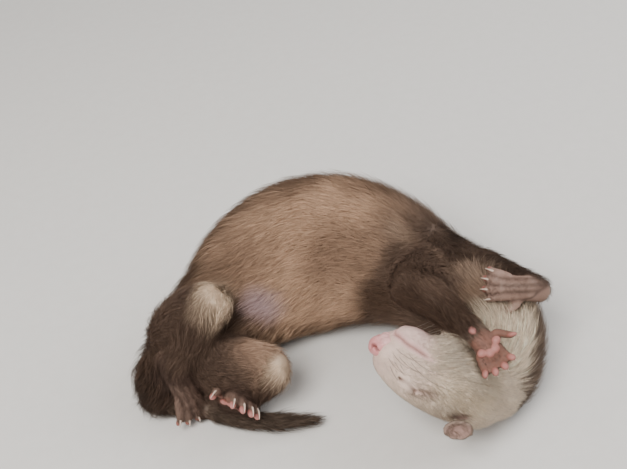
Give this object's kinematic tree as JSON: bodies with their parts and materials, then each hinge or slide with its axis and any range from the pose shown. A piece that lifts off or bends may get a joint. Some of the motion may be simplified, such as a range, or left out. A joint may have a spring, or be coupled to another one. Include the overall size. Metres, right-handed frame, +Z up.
{
  "type": "sleeping ferret model",
  "caption": "Life-size still model of a ferret asleep, curled on its side with the belly up, the head upside down and the tail tucked under the feet.",
  "frame": {"origin": "on the floor, under the middle of the animal's outline box", "axes": "+Z up from the floor, +X from the rump side towards the side of the folded neck and forelegs, +Y towards the curved back, so the belly and the head face -Y"},
  "size_m": [0.2159, 0.1618, 0.0786],
  "materials": {
    "dark_brown_coat": "very dark brown fur",
    "brown_coat": "brown fur",
    "tan_coat": "tan fur with a cream underfur",
    "cream_coat": "cream fur",
    "taupe_skin": "short taupe fur over skin",
    "pink_skin": "bare pink skin"
  },
  "bodies": {
    "root": {"pelvis": "brown_coat", "abdomen": "tan_coat", "chest": "brown_coat", "neck": "cream_coat", "head": "cream_coat", "nose": "pink_skin", "ear_left": "taupe_skin", "ear_right": "taupe_skin", "tail": "dark_brown_coat", "thigh_left": "brown_coat", "shank_left": "brown_coat", "hind_foot_left": "taupe_skin", "thigh_right": "brown_coat", "shank_right": "brown_coat", "hind_foot_right": "taupe_skin", "upper_arm_left": "dark_brown_coat", "forearm_left": "dark_brown_coat", "forepaw_left": "taupe_skin", "upper_arm_right": "brown_coat", "forearm_right": "dark_brown_coat", "forepaw_right": "taupe_skin"}
  },
  "joints": []
}
